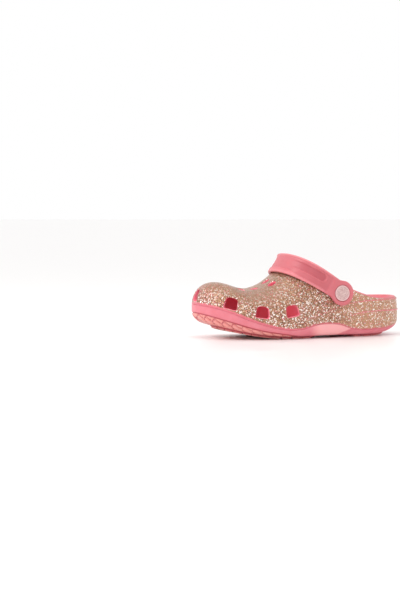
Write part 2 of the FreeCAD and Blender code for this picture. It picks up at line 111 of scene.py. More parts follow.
def ground_z(x):
    """Underside of the treads: bevelled up at the heel, flat, and sprung up to the toe."""
    x = np.asarray(x, float)
    lift = 0.0
    ends = ((HEEL_FLAT, HEEL_RISE, HEEL_FLAT - x), (LENGTH - TOE_FLAT, TOE_RISE, x - TOE_FLAT))
    for run, height, beyond in ends:
        radius = (run * run + height * height) / (2 * height)
        lift = lift + radius - np.sqrt(radius**2 - np.clip(beyond, 0, run * 1.05) ** 2)
    return lift


# %% The skin itself, and any depth under it
AXIS_X = 55.0
TOE_BLUNT, HEEL_BLUNT = 5.0, 2.6
END_ROUND, UNDER_END = 2.3, 4.0
UNDER_SQUARE, UNDER_ROUND, CROWN_ROUND = 4.2, 2.8, 2.2
BELOW_GROUND = 3.0


def skin(phi, psi):
    """The outer skin: phi turns round it in plan from the toe, psi climbs from underneath to the crown."""
    level, ahead = np.cos(psi), np.cos(phi)
    reach = np.where(ahead >= 0, LENGTH - AXIS_X, AXIS_X)
    blunt = np.where(ahead >= 0, TOE_BLUNT, HEEL_BLUNT)
    share = (np.abs(ahead) * level) ** (2 / blunt)
    x = AXIS_X + np.sign(ahead) * reach * share
    end = np.maximum(1 - share**blunt, 0.0) ** (1 / END_ROUND)
    turn = np.arctan2(np.sin(psi), np.abs(np.sin(phi)) * level)
    half = np.where(np.sin(phi) >= 0, half_outer(x), half_inner(x))
    upper = psi >= 0
    across = np.where(upper, side_squareness(x), UNDER_SQUARE)
    up = np.where(upper, CROWN_ROUND, UNDER_ROUND)
    under = (widest_z(x) - ground_z(x) + BELOW_GROUND) * end ** (END_ROUND / UNDER_END)
    height = np.where(upper, crown_rise(x) * end, under)
    y = spine_y(x) + np.sign(np.sin(phi)) * half * end * np.maximum(np.cos(turn), 0) ** (2 / across)
    z = widest_z(x) + height * np.sign(turn) * np.abs(np.sin(turn)) ** (2 / up)
    return np.stack([x, y, z], -1)


def outline_table(steps=3200):
    """Arc length round the widest outline against phi, starting at the back of the heel."""
    t = np.linspace(0, math.pi / 2, steps)
    back = math.pi - np.arccos(np.cos(t) ** (HEEL_BLUNT / 2))
    front = np.arccos(np.minimum(np.sin(t) ** (TOE_BLUNT / 2), 1))
    half = np.concatenate([back[:-1], front])
    phis = np.concatenate([half, -half[-2::-1]])
    lengths = np.linalg.norm(np.diff(skin(phis, np.zeros_like(phis)), axis=0), axis=1)
    return np.concatenate([[0], np.cumsum(lengths)]), phis


ARCS, PHIS = outline_table()
GIRTH = ARCS[-1]
ARC_STEP, PSI_STEP = 0.4, 0.002      # half the spans over which the skin's two slopes are measured


def at_depth(arc, psi, depth):
    """A point under the skin, for arrays of arc length round the shoe, of psi and of depth."""
    arc, psi = np.broadcast_arrays(arc, psi)

    def surface(a, p):
        return skin(np.interp(a % GIRTH, ARCS, PHIS), p)

    along = surface(arc + ARC_STEP, psi) - surface(arc - ARC_STEP, psi)
    up = surface(arc, psi + PSI_STEP) - surface(arc, psi - PSI_STEP)
    out = np.cross(up, along)
    out /= np.linalg.norm(out, axis=-1, keepdims=True)
    return surface(arc, psi) - out * np.asarray(depth)[..., None]


print("girth", round(GIRTH, 1), "mm, toe", np.round(at_depth(GIRTH / 2, 0.0, 0.0), 2))

# %% Rows up the skin between two profiles
LOWEST_PSI, HIGHEST_PSI = -1.45, 1.56


def psi_at(arcs, profile, depth, low=LOWEST_PSI):
    """For each column, the first psi going up at which the layer rises above a side profile."""
    psis = np.linspace(low, HIGHEST_PSI, 420)
    points = at_depth(arcs[:, None], psis[None, :], depth)
    over = points[..., 2] - profile(points[..., 0])
    first = np.argmax(over > 0, axis=1)
    first = np.where(over.max(axis=1) > 0, np.maximum(first, 1), len(psis) - 1)
    column = np.arange(len(arcs))
    a, b = over[column, first - 1], over[column, first]
    return psis[first - 1] + (psis[first] - psis[first - 1]) * np.clip(-a / (b - a), 0, 1)


def rows_between(arcs, low, high, shares, depth):
    """Points of a layer, columns by rows, at shares of the distance up each column."""
    fine = np.linspace(0, 1, 120)
    psis = low[:, None] + (high - low)[:, None] * fine
    points = at_depth(arcs[:, None], psis, depth)
    run = np.cumsum(np.linalg.norm(np.diff(points, axis=1), axis=2), axis=1)
    run = np.concatenate([np.zeros((len(arcs), 1)), run], axis=1)
    chosen = [np.interp(np.asarray(shares) * r[-1], r, p) for r, p in zip(run, psis)]
    return at_depth(arcs[:, None], np.array(chosen), depth)


# %% [markdown]
# ## From places to a mesh
# Every shell here is a flat grid of faces that is moved onto an array of places, columns by rows, and whose
# first and last columns are merged. That keeps the quads even, which smooth shading needs. A ring of rows
# that ends where it starts makes a closed wall, and an open one has its two ends capped.

# %% Wrap a grid, and make a piece of it
def metres(point):
    """A place in the frame, from millimetres counted from the heel."""
    return Vector(((point[0] - LENGTH / 2) * MM, point[1] * MM, point[2] * MM))


def wrapped(places, ring=False, caps=True):
    """A bmesh of a grid wrapped onto places (columns, rows, 3), in millimetres from the heel."""
    columns, rows = places.shape[:2]
    spans = (columns, rows if ring else rows - 1)
    bm = bmesh.new()
    bmesh.ops.create_grid(bm, x_segments=spans[0], y_segments=spans[1], size=0.5)
    for v in bm.verts:
        column = round((v.co.x + 0.5) * spans[0]) % columns
        row = round((v.co.y + 0.5) * spans[1]) % rows
        v.co = metres(places[column, row])
    bmesh.ops.remove_doubles(bm, verts=bm.verts, dist=1e-8)
    if caps and not ring:
        bmesh.ops.holes_fill(bm, edges=[e for e in bm.edges if e.is_boundary], sides=0)
    bmesh.ops.recalc_face_normals(bm, faces=bm.faces)
    return bm


def object_from(bm, name):
    mesh = bpy.data.meshes.new(name)
    bm.to_mesh(mesh)
    bm.free()
    thing = bpy.data.objects.new(name, mesh)
    bpy.context.collection.objects.link(thing)
    return thing


def finish_piece(bm, name, body, node, smooth_angle=40):
    """Turns a bmesh into a piece that rides on a body and stands for a node."""
    piece = object_from(bm, name)
    piece.data.shade_smooth()
    piece.data.set_sharp_from_angle(angle=math.radians(smooth_angle))
    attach(piece, body)
    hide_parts(node)
    print("%-22s %6d faces" % (name, len(piece.data.polygons)))
    return piece


# %% [markdown]
# ## The glitter film
# The upper is coloured by a thin film full of flakes that lies in the mould before the foam. It carries two
# fine raised lines: one runs level round the heel and dips below the side vents, the other fades out above
# the arch. They are real relief here, because a bump map would vanish at a grazing view.

# %% Relief lines
upper_line = smooth([(-5, 32.6), (20, 32.2), (45, 31.4), (60, 29.4), (80, 23.8), (100, 18.2), (125, 14.4),
                     (150, 17.2), (168, 22.5), (190, 32)])
lower_line = smooth([(-5, 22.8), (20, 22.6), (40, 22.2), (55, 20), (70, 16.6), (90, 13), (110, 10)])
LINE_HEIGHT, LINE_WIDTH = 0.55, 0.85
UPPER_END, UPPER_FADE = 166, 24
LOWER_END, LOWER_FADE = 82, 26


def relief(points):
    """How far the raised lines stand out at these points, from 0 to 1."""
    x, z = points[..., 0], points[..., 2]
    level = np.clip((UPPER_END - x) / UPPER_FADE, 0, 1) * np.clip(1.35 - x / 170, 0.45, 1)
    upper = level * np.exp(-(((z - upper_line(x)) / LINE_WIDTH) ** 2))
    lower = np.clip((LOWER_END - x) / LOWER_FADE, 0, 1) * np.exp(-(((z - lower_line(x)) / LINE_WIDTH) ** 2))
    return np.maximum(upper, lower)


# %% Film sheet
FILM = 0.5
FILM_THICK = 0.47
FILM_COLUMNS, FILM_ROWS = 400, 84


def columns_of(count):
    return np.arange(count) * GIRTH / count


def layer_rows(arcs, shares, depth, low_profile):
    """One layer of the upper's wall, from a side profile up to where the rim begins to round over."""
    top = psi_at(arcs, lambda x: collar_z(x) - WALL / 2, WALL / 2, low=0.0)
    low = psi_at(arcs, low_profile, depth)
    return rows_between(arcs, low, top, shares, depth)


film_arcs = columns_of(FILM_COLUMNS)
film_shares = np.linspace(0, 1, FILM_ROWS) ** 1.1
film_out = layer_rows(film_arcs, film_shares, 0.0, parting_z)
film_in = layer_rows(film_arcs, film_shares, FILM_THICK, parting_z)
outwards = film_out - film_in
outwards /= np.linalg.norm(outwards, axis=-1, keepdims=True)
film_out += outwards * (relief(film_out) * LINE_HEIGHT)[..., None]
film = wrapped(np.concatenate([film_out, film_in[:, ::-1]], axis=1), ring=True)
print("film", len(film.faces), "faces")

# %% [markdown]
# ## Vents
# The upper has tapered windows along both sides and at the toe, and round holes over the vamp. Drilling
# leaves sharp rims, but foam comes out of the mould with soft ones. So each cutter flares out in a quarter
# round just where it leaves the skin, and the hole that it cuts already has the soft rim.

# %% Vent outlines
# station, height, and degrees by which the heel end is tipped up
OUTER_VENTS = [(117.4, 24.4, 10), (144.4, 23.8, -7), (170.4, 31.2, -14)]
INNER_VENTS = [(101, 25.6, 10), (127.7, 23.8, 0), (157.5, 27.4, -11)]
TOE_VENT_Z, TOE_VENT_SHIFT = 37.0, 5.8      # height, and way round the outline from the tip
VENT_FOOT, VENT_HEAD, VENT_HEIGHT = 12.4, 9.8, 9.6
FOOT_CORNER, HEAD_CORNER = 1.6, 3.4
ROUND_VENT_R = 3.5
ROUND_VENTS = [(125.5, -14), (125.5, 0), (125.5, 14), (139.5, -7.5), (139.5, 7.5), (153, -13), (153, 0),
               (153, 13)]      # station, and offset from the spine


def window_outline():
    """Points and outward directions round a tapered window with round corners."""
    foot, head, half_height = VENT_FOOT / 2, VENT_HEAD / 2, VENT_HEIGHT / 2
    corners = [(foot, -half_height, FOOT_CORNER), (head, half_height, HEAD_CORNER),
               (-head, half_height, HEAD_CORNER), (-foot, -half_height, FOOT_CORNER)]
    arcs = []
    for i, (x, y, radius) in enumerate(corners):
        corner = np.array([x, y])
        before = np.array(corners[i - 1][:2]) - corner
        after = np.array(corners[(i + 1) % 4][:2]) - corner
        before, after = before / np.linalg.norm(before), after / np.linalg.norm(after)
        inward = (before + after) / np.linalg.norm(before + after)
        centre = corner + inward * radius / math.sin(math.acos(np.dot(before, inward)))
        start = math.atan2(before[0], -before[1])
        turns = start + np.linspace(0, math.pi - math.acos(np.dot(before, after)), 7)
        normals = np.stack([np.cos(turns), np.sin(turns)], -1)
        arcs.append((centre + normals * radius, normals))
    points, directions = [], []
    for i, (arc, normals) in enumerate(arcs):
        points += list(arc)
        directions += list(normals)
        for share in (0.2, 0.4, 0.6, 0.8):
            points.append(arc[-1] + (arcs[(i + 1) % 4][0][0] - arc[-1]) * share)
            directions.append(normals[-1])
    return np.array(points), np.array(directions)


def circle_outline(radius, count=36):
    turn = np.linspace(0, 2 * math.pi, count, endpoint=False)
    normals = np.stack([np.cos(turn), np.sin(turn)], -1)
    return normals * radius, normals


# %% Cutters that flare at the skin
FLARE = 1.3
ABOVE_SKIN, BELOW_SKIN, THROUGH_WALL = 3.0, -4.0, -9.0
skin_psis = np.linspace(-1.0, 1.5, 120)
whole_skin = wrapped(at_depth(columns_of(320)[:, None], skin_psis[None, :], 0.0), caps=False)
skin_tree = BVHTree.FromBMesh(whole_skin)
whole_skin.free()


def cutter(outline, place, right, up):
    """A plug through the wall, square to the skin at a place, flared in a quarter round at the skin."""
    points, normals = outline
    out = np.cross(right, up)
    rings = [(FLARE * 2.2, ABOVE_SKIN)]
    for turn in np.radians([18, 36, 54, 72, 90]):
        rings.append((FLARE * (1 - math.sin(turn)), -FLARE * (1 - math.cos(turn))))
    rings += [(0.0, BELOW_SKIN), (0.0, THROUGH_WALL)]
    places = np.zeros((len(points), len(rings), 3))
    for i, (point, normal) in enumerate(zip(points, normals)):
        for j, (spread, height) in enumerate(rings):
            flat = point + normal * spread
            base = place + right * flat[0] + up * flat[1]
            hit = skin_tree.ray_cast(metres(base + out * 12), Vector(-out))[0]
            lift = np.dot(np.array(hit) / MM + [LENGTH / 2, 0, 0] - base, out) if hit else 0.0
            places[i, j] = base + out * (lift + height)
    plug = wrapped(places)
    if plug.calc_volume(signed=True) < 0:
        bmesh.ops.reverse_faces(plug, faces=plug.faces)
    return plug


def arc_at(x, outer):
    """Arc length round the widest outline to a station, on one side of the foot."""
    side = (ARCS < GIRTH / 2) if outer else (ARCS > GIRTH / 2)
    stations = skin(PHIS[side], np.zeros(side.sum()))[:, 0]
    order = np.argsort(stations)
    return np.interp(x, stations[order], ARCS[side][order])


def side_frame(arc, z, slope):
    """Place, right and up of a vent in the side wall, turned in the wall by a slope in degrees."""
    arcs = np.array([arc])
    psi = psi_at(arcs, lambda x: np.full_like(x, z), 0.0, low=-1.2)[0]
    place = at_depth(arc, psi, 0.0)
    out = place - at_depth(arc, psi, 1.0)
    out[2] = 0
    out /= np.linalg.norm(out)
    right = np.cross([0, 0, 1], out)
    turn = math.radians(slope)
    return place, right * math.cos(turn) + np.array([0, 0, math.sin(turn)]), \
        np.array([0, 0, math.cos(turn)]) - right * math.sin(turn)


def crown_point(x, offset):
    """The skin above a plan position: station, and offset from the spine."""
    share = (x - AXIS_X) / (LENGTH - AXIS_X)
    end = (1 - share**TOE_BLUNT) ** (1 / END_ROUND)
    half = (half_outer(x) if offset >= 0 else half_inner(x)) * end
    level = (1 - (abs(offset) / half) ** side_squareness(x)) ** (1 / CROWN_ROUND)
    return np.array([x, spine_y(x) + offset, widest_z(x) + crown_rise(x) * end * level])


def joined(parts):
    """Several bmeshes as one."""
    whole = bmesh.new()
    for part in parts:
        mesh = bpy.data.meshes.new("part")
        part.to_mesh(mesh)
        part.free()
        whole.from_mesh(mesh)
        bpy.data.meshes.remove(mesh)
    return whole


plugs = []
for stations, outer in ((OUTER_VENTS, True), (INNER_VENTS, False)):
    for station, z, tip in stations:
        frame_of_vent = side_frame(arc_at(station, outer), z, tip if outer else -tip)
        plugs.append(cutter(window_outline(), *frame_of_vent))
plugs.append(cutter(window_outline(), *side_frame(GIRTH / 2 + TOE_VENT_SHIFT, TOE_VENT_Z, 0)))
for station, offset in ROUND_VENTS:
    forward = crown_point(station + 1, offset) - crown_point(station - 1, offset)
    across = crown_point(station, offset + 1) - crown_point(station, offset - 1)
    forward /= np.linalg.norm(forward)
    across -= forward * np.dot(across, forward)
    across /= np.linalg.norm(across)
    plugs.append(cutter(circle_outline(ROUND_VENT_R), crown_point(station, offset), forward, across))
print(len(plugs), "vent cutters", round(time.time() - started, 1), "s")


# %% Cut the film's vents
TRIES = 8
NUDGE = Vector((1.3e-5, -2.1e-5, 1.7e-5))
LEAST_FROM_FILM, LEAST_FROM_FOAM, LEAST_FROM_STRAP = 1e-8, 8e-8, 1e-7      # cubic metres


def cut_once(bm, plug_bm):
    """Cuts one bmesh out of another with an exact Boolean, and returns what is left."""
    body, plug = object_from(bm.copy(), "cut_body"), object_from(plug_bm.copy(), "cut_plug")
    boolean = body.modifiers.new("cut", "BOOLEAN")
    boolean.operation = "DIFFERENCE"
    boolean.solver = "EXACT"
    boolean.object = plug
    graph = bpy.context.evaluated_depsgraph_get()
    mesh = bpy.data.meshes.new_from_object(body.evaluated_get(graph), depsgraph=graph)
    result = bmesh.new()
    result.from_mesh(mesh)
    for leftover in (body.data, plug.data, mesh):
        bpy.data.meshes.remove(leftover)
    return result


def cut(bm, plug_bm, least):
    """Cuts at least this volume away, and nudges the plug a little where a cut goes wrong."""
    whole, plug_volume = bm.calc_volume(signed=True), plug_bm.calc_volume()
    for _ in range(TRIES):
        result = cut_once(bm, plug_bm)
        left = result.calc_volume(signed=True)
        if whole - plug_volume < left < whole - least:
            bm.free()
            return result
        result.free()
        bmesh.ops.translate(plug_bm, verts=plug_bm.verts, vec=NUDGE)
    raise RuntimeError("a cut failed")


for plug in plugs:
    film = cut(film, plug.copy(), LEAST_FROM_FILM)
film = finish_piece(film, "glitter_film", "clog", "glitter_film", 50)
print("film cut", round(time.time() - started, 1), "s")

# %% [markdown]
# ## The foam upper
# Behind the film stands the foam wall. It shows as a pink line on the collar, as the cut faces of the vents
# and as the inside of the shoe. Its rim is a half round, as a mould leaves it. Two round seats carry the
# strap's ends, and a seat is simply a short stub that stands through the wall.

# %% Foam wall with a round rim
PIVOT = np.array([69.0, 2.3, 39.0])
SEAT_HALF, SEAT_DEPTH, SEAT_R = 32.7, 5.8, 8.0
RIM_TURNS = np.radians([22, 45, 67, 90, 113, 135, 158])
foam_arcs = columns_of(300)
foam_shares = np.linspace(0, 1, 60) ** 1.1
foam_out = layer_rows(foam_arcs, foam_shares, FILM, parting_z)
foam_in = layer_rows(foam_arcs, foam_shares, WALL, parting_z)
middle = (foam_out[:, -1] + foam_in[:, -1]) / 2
across = foam_out[:, -1] - middle
rim_up = foam_out[:, -1] - foam_out[:, -2]
rim_up -= across * (np.sum(rim_up * across, -1) / np.sum(across * across, -1))[:, None]
rim_up *= (np.linalg.norm(across, axis=-1) / np.linalg.norm(rim_up, axis=-1))[:, None]
rim = [middle + across * math.cos(a) + rim_up * math.sin(a) for a in RIM_TURNS]
foam = wrapped(np.concatenate([foam_out, np.stack(rim, 1), foam_in[:, ::-1]], axis=1), ring=True)
for plug in plugs:
    foam = cut(foam, plug.copy(), LEAST_FROM_FOAM)
    plug.free()
print("foam wall", len(foam.faces), round(time.time() - started, 1), "s")


# %% Lathe: a profile spun round the strap's axis
def set_on_axis(bm, side):
    """Turns what was made flat, facing up, outwards on one side of the foot, round the strap's axis."""
    turn = Matrix.Rotation(-side * math.pi / 2, 4, "X")
    bmesh.ops.transform(bm, matrix=Matrix.Translation(metres(PIVOT)) @ turn, verts=bm.verts)
    bmesh.ops.recalc_face_normals(bm, faces=bm.faces)
    return bm


def lathe(profile, side, steps=72):
    """Spins (radius, distance out from the middle of the foot) pairs round the strap's axis on one side."""
    bm = bmesh.new()
    verts = [bmesh.ops.create_vert(bm, co=(r * MM, 0, h * MM))["vert"][0] for r, h in profile]
    for a, b in zip(verts, verts[1:]):
        bmesh.ops.contextual_create(bm, geom=[a, b])
    bmesh.ops.spin(bm, geom=bm.verts[:] + bm.edges[:], cent=(0, 0, 0), axis=(0, 0, 1), angle=2 * math.pi,
                   steps=steps, use_merge=True)
    bmesh.ops.remove_doubles(bm, verts=bm.verts, dist=1e-7)
    return set_on_axis(bm, side)


seat_back = SEAT_HALF - SEAT_DEPTH
seat_profile = [(0, seat_back + 0.4), (6.9, seat_back + 0.4), (SEAT_R, seat_back + 0.8),
                (SEAT_R, SEAT_HALF - 0.4), (SEAT_R - 0.12, SEAT_HALF - 0.12), (SEAT_R - 0.4, SEAT_HALF),
                (0, SEAT_HALF)]
seats = [lathe(seat_profile, side) for side in (1, -1)]
foam = finish_piece(joined([foam] + seats), "upper_foam", "clog", "upper_foam", 50)

# %% [markdown]
# ## The sole
# The sole is moulded in one piece: a sidewall that rises in a wave to the film's edge, a flat underside for
# the treads, and a footbed with small nubs. One path per column runs from the middle of the footbed over the
# inside of the wall, down the sidewall and under the sole. The arch carries a smooth raised panel.

# %% Reliefs of the sidewall
ARCH_START, ARCH_START_LEAN, ARCH_START_FADE = 56.5, 1.4, 2.4
ARCH_END, ARCH_END_LEAN, ARCH_END_FADE = 103, 0.4, 13
LUGS_START, LUGS_FADE = 108, 4
LUG_PITCH, LUG_LEAN, LUG_GROOVE, LUG_BORDER = 9.5, 1.25, 0.75, 0.6


def slid(points, goals, shares, profile):
    """Rows that slide from points towards goals and rest on a height profile of station."""
    rows = points[:, None] + (goals - points)[:, None] * np.asarray(shares)[None, :, None]
    rows[..., 2] = profile(rows[..., 0])
    return rows


def arch_panel(points):
    """How far the arch's raised panel stands out, from 0 to 1."""
    x, below = points[..., 0], parting_z(points[..., 0]) - points[..., 2]
    rising = step_between(x - ARCH_START - below * ARCH_START_LEAN, 0, ARCH_START_FADE)
    return rising * step_between(ARCH_END - x - below * ARCH_END_LEAN, 0, ARCH_END_FADE)


climb_z = smooth([(60, 0), (100, 1.5), (112, 2.6), (118, 3.6), (137, 6.6), (152, 10), (163, 13.4),
                  (178, 18.4), (190, 22.4)])


def climbing_lugs(points, arcs):
    """The tread's cells where they climb the sidewall at the toe: what is tread at all, and its grooves."""
    x, z = points[..., 0], points[..., 2]
    ahead = np.clip((x - LUGS_START) / LUGS_FADE, 0, 1)
    tread = np.clip((climb_z(x) - z) / 0.5, 0, 1) * ahead
    height = z - ground_z(x)
    groove = np.zeros_like(z)
    for way in (1, -1):
        across = np.mod(arcs + way * height * LUG_LEAN, LUG_PITCH)
        gap = np.minimum(across, LUG_PITCH - across)
        groove = np.maximum(groove, np.clip(1.35 - gap / LUG_GROOVE, 0, 1))
    border = np.clip(1.35 - np.abs(z - climb_z(x)) / LUG_BORDER, 0, 1) * ahead
    return tread, np.maximum(groove * tread, border)


# %% Sole body
ROUND_EDGE = 1.4
KEEL = (26, 158)
FOOTBED_SHARES = [0.985, 0.9, 0.8, 0.7, 0.6, 0.5, 0.4, 0.3, 0.2, 0.13, 0.07, 0.03, 0]
FOOTBED_LIFTS = 0.35 * np.array([0, 0, 0, 0, 0, 0, 0.05, 0.2, 0.5, 0.9, 1.4, 1.9, 2.3])
UNDER_SHARES = [0.08, 0.2, 0.35, 0.5, 0.65, 0.8, 0.9, 0.985]
ARCH_STANDS, LUG_GROOVE_DEPTH = 0.75, 0.8
sole_arcs = columns_of(760)


def under_z(x):
    return ground_z(x) + TREAD


def ring_at(profile, depth):
    """Where the layer at a depth crosses a side profile, one place per column."""
    return at_depth(sole_arcs, psi_at(sole_arcs, profile, depth), depth)


edge_low = ring_at(under_z, 0.0)
footbed_edge = ring_at(footbed_z, WALL)
keel_x = np.clip(edge_low[:, 0], *KEEL)
goal = np.stack([keel_x, spine_y(keel_x), edge_low[:, 2]], -1)
footbed_rows = slid(footbed_edge, goal, FOOTBED_SHARES, lambda x: footbed_z(np.clip(x, 0, LENGTH)))
footbed_rows[..., 2] += FOOTBED_LIFTS
ledge_in = ring_at(lambda x: parting_z(x) - 0.05, WALL)
ledge_out = ring_at(lambda x: parting_z(x) - 0.05, 0.35)
low = psi_at(sole_arcs, lambda x: under_z(x) + ROUND_EDGE, 0.0)
high = psi_at(sole_arcs, lambda x: parting_z(x) - 0.4, 0.0)
side_rows = rows_between(sole_arcs, low, high, np.linspace(0, 1, 46), 0.0)[:, ::-1]
inner_way = goal - edge_low
inner_way /= np.linalg.norm(inner_way[:, :2], axis=-1, keepdims=True)
tuck = edge_low + inner_way * ROUND_EDGE
tuck[:, 2] = under_z(tuck[:, 0])
bend = np.linspace(0, 1, 7)[1:, None, None]
edge_rows = (1 - bend) ** 2 * side_rows[:, -1] + 2 * bend * (1 - bend) * edge_low + bend**2 * tuck
under_rows = slid(tuck, goal, UNDER_SHARES, under_z)
sole_out = np.concatenate([side_rows, np.moveaxis(edge_rows, 0, 1)], axis=1)
sideways = sole_out - goal[:, None]
sideways[..., 2] = 0
sideways /= np.linalg.norm(sideways, axis=-1, keepdims=True)
above_edge = np.clip((sole_out[..., 2] - under_z(sole_out[..., 0])) / 1.6, 0, 1)
lug_groove = climbing_lugs(sole_out, sole_arcs[:, None])[1]
stands = arch_panel(sole_out) * above_edge * ARCH_STANDS - lug_groove * LUG_GROOVE_DEPTH
sole_out += sideways * stands[..., None]
path = [footbed_rows, ledge_in[:, None], ledge_out[:, None], sole_out, under_rows]
sole = wrapped(np.concatenate(path, axis=1))

# %% Nubs of the footbed
NUB_R, NUB_PITCH, NUB_ROW_PITCH = 1.5, 8.0, 6.0
NUB_START, NUB_END, NUB_MARGIN, BED_MIDDLE = 18, 168, 11, 92
nubs = []
for row, y in enumerate(np.arange(-27, 28, NUB_ROW_PITCH)):
    for x in np.arange(NUB_START + (row % 2) * NUB_PITCH / 2, NUB_END, NUB_PITCH):
        half = float((half_outer(x) if y > 0 else half_inner(x))) - NUB_MARGIN
        if abs(y - float(spine_y(x))) < half * (1 - ((x - BED_MIDDLE) / BED_MIDDLE) ** 4) ** 0.5:
            nub = bmesh.new()
            place = metres((x, y, float(footbed_z(x)) + 0.1))
            bmesh.ops.create_uvsphere(nub, u_segments=12, v_segments=7, radius=NUB_R * MM,
                                      matrix=Matrix.Translation(place) @ Matrix.Diagonal((1, 1, 0.55, 1)))
            nubs.append(nub)
print(len(nubs), "nubs")
sole = finish_piece(joined([sole] + nubs), "sole_unit", "clog", "sole_unit", 45)

# %% [markdown]
# ## Treads
# The mould presses a diamond pattern into the sole. The lesson draws each pad's outline as one flat face,
# slices it along the groove lines, insets every cell by half a groove and pushes it down, which gives lugs
# with a groove between them. At the end the flat pad is bent onto the underside, up the toe.

# %% Tread pads
TREAD_INSET, OUTLINE_LEVEL = 1.2, 0.9
GROOVE_PITCH, GROOVE_ANGLE, GROOVE_WIDTH, GROOVE_DEPTH = 9.5, 32.0, 1.2, 1.3
LUG_BEVEL, SMALLEST_CELL, PAD_GAP = 0.28, 0.75, 0.04      # the cell's measure is its area over its girth


def slice_pad(bm, place, normal, **clear):
    bmesh.ops.bisect_plane(bm, geom=bm.verts[:] + bm.edges[:] + bm.faces[:], plane_co=place, plane_no=normal,
                           dist=1e-5, **clear)


def tread_pad(name, start, end):
    """A pad between two stations, with its lugs pointing down."""
    arcs = columns_of(360)
    psi = psi_at(arcs, lambda x: ground_z(x) + OUTLINE_LEVEL, TREAD_INSET)
    outline = at_depth(arcs, psi, TREAD_INSET)
    bm = bmesh.new()
    bmesh.ops.create_circle(bm, cap_ends=True, segments=len(arcs), radius=1.0)
    bm.verts.ensure_lookup_table()
    order = sorted(bm.verts, key=lambda v: math.atan2(v.co.y, v.co.x))
    spin = 1 if outline[0, 1] > outline[5, 1] else -1
    for i, v in enumerate(order):
        v.co = (*outline[(spin * i) % len(arcs)][:2], 0)
    slice_pad(bm, (start, 0, 0), (1, 0, 0), clear_inner=True)
    slice_pad(bm, (end, 0, 0), (1, 0, 0), clear_outer=True)
    for tilt in (GROOVE_ANGLE, -GROOVE_ANGLE):
        normal = (math.cos(math.radians(tilt)), math.sin(math.radians(tilt)), 0)
        for i in range(-2, int(LENGTH / GROOVE_PITCH) + 4):
            slice_pad(bm, (i * GROOVE_PITCH, 0, 0), normal)
    cells = [f for f in bm.faces if f.calc_area() / f.calc_perimeter() > SMALLEST_CELL]
    bmesh.ops.inset_individual(bm, faces=cells, thickness=GROOVE_WIDTH / 2, use_even_offset=True)
    lugs = bmesh.ops.extrude_discrete_faces(bm, faces=cells)["faces"]
    for v in {v for f in lugs for v in f.verts}:
        v.co.z = -GROOVE_DEPTH
    lug_edges = list({e for f in lugs for e in f.edges})
    bmesh.ops.bevel(bm, geom=lug_edges, offset=LUG_BEVEL, offset_type="OFFSET", segments=2, profile=0.5,
                    affect="EDGES", material=-1, clamp_overlap=True)
    border = [e for e in bm.edges if e.is_boundary]
    rim = bmesh.ops.extrude_edge_only(bm, edges=border)["geom"]
    for v in [g for g in rim if isinstance(g, bmesh.types.BMVert)]:
        v.co.z = TREAD - GROOVE_DEPTH - PAD_GAP
    bmesh.ops.holes_fill(bm, edges=[e for e in bm.edges if e.is_boundary], sides=0)
    bmesh.ops.triangulate(bm, faces=[f for f in bm.faces if len(f.verts) > 4])
    for v in bm.verts:
        v.co = metres((v.co.x, v.co.y, float(ground_z(v.co.x)) + GROOVE_DEPTH + v.co.z))
    bmesh.ops.recalc_face_normals(bm, faces=bm.faces)
    return finish_piece(bm, name, "clog", name, 30)


treads = [tread_pad("heel_tread", 2.0, 54.5), tread_pad("forefoot_tread", 91.5, 188.0)]

# %% [markdown]
# ## The heel strap
# The strap is moulded flat in one half and folded over the instep: two long arms with round ends, raised
# beads on both edges and a long sunk panel in each arm. Its surface is worked out as a drawing in two
# directions, along and across, and that drawing is then bent along the path over the foot.

# %% Path over the foot and the strap's outline
STRAP_LEAN, STRAP_THICK, STRAP_END_R, END_GAP = 32.0, 2.8, 10.8, 0.2
SEAT = SEAT_HALF + END_GAP
half_path = np.array([(-11.5, SEAT), (-2, SEAT), (9, SEAT), (18, 33.3), (27, 33.0), (35, 31.2), (42, 26.6),
                      (46.8, 18.6), (49.1, 9.2), (49.7, 0)])
whole_path = np.concatenate([half_path, half_path[-2::-1] * [1, -1]])
walk = np.concatenate([[0], np.cumsum(np.linalg.norm(np.diff(whole_path, axis=0), axis=1))])
path_s, path_y = smooth(list(zip(walk, whole_path[:, 0]))), smooth(list(zip(walk, whole_path[:, 1])))
arm_half = smooth([(-12, 8.6), (12, 8.6), (24, 9.0), (40, 9.3), (60, 9.3)])
droop = smooth([(-12, 0), (24, 0), (50, -1.2), (60, -1.5)])


END_BLEND, BLEND_BULGE = 5.0, 1.375
BEAD_WIDTH, FRONT_LIP, SUNK_DEPTH = 1.5, 2.6, 0.75
PANEL_START, PANEL_END, PANEL_OFFSET, PANEL_R = 23.2, 46, 2.0, 2.8
WELL_DEPTH, PANEL_RIM, PANEL_RIM_R, PANEL_RIM_WIDTH = 0.85, 0.4, 4.0, 0.5


def edge_distance(s, n):
    """Distance in from the strap's outline: a round end blended into the arm."""
    disc = STRAP_END_R - np.hypot(s, n)
    arm = np.minimum(arm_half(s) - np.abs(n), s)
    blend = np.clip(0.5 + (arm - disc) / END_BLEND, 0, 1)
    return disc * (1 - blend) + arm * blend + BLEND_BULGE * blend * (1 - blend)


def outer_relief(s, n, edge):
    """How deep the outer face is sunk under the strap's full thickness."""
    lip = BEAD_WIDTH + FRONT_LIP * step_between(s, 34, 50) * (n < 0)
    sunk = SUNK_DEPTH * step_between(s, 12.5, 15) * step_between(edge, lip, lip + 0.6)
    panel = np.hypot(s - np.clip(s, PANEL_START, PANEL_END), n - PANEL_OFFSET)
    well = WELL_DEPTH * (1 - step_between(panel, PANEL_R, PANEL_R + 0.6)) * (1 - step_between(s, 43, 49))
    rim = PANEL_RIM * np.exp(-(((panel - PANEL_RIM_R) / PANEL_RIM_WIDTH) ** 2))
    return np.maximum(sunk + well - rim * (1 - step_between(s, 38, 44)), 0)


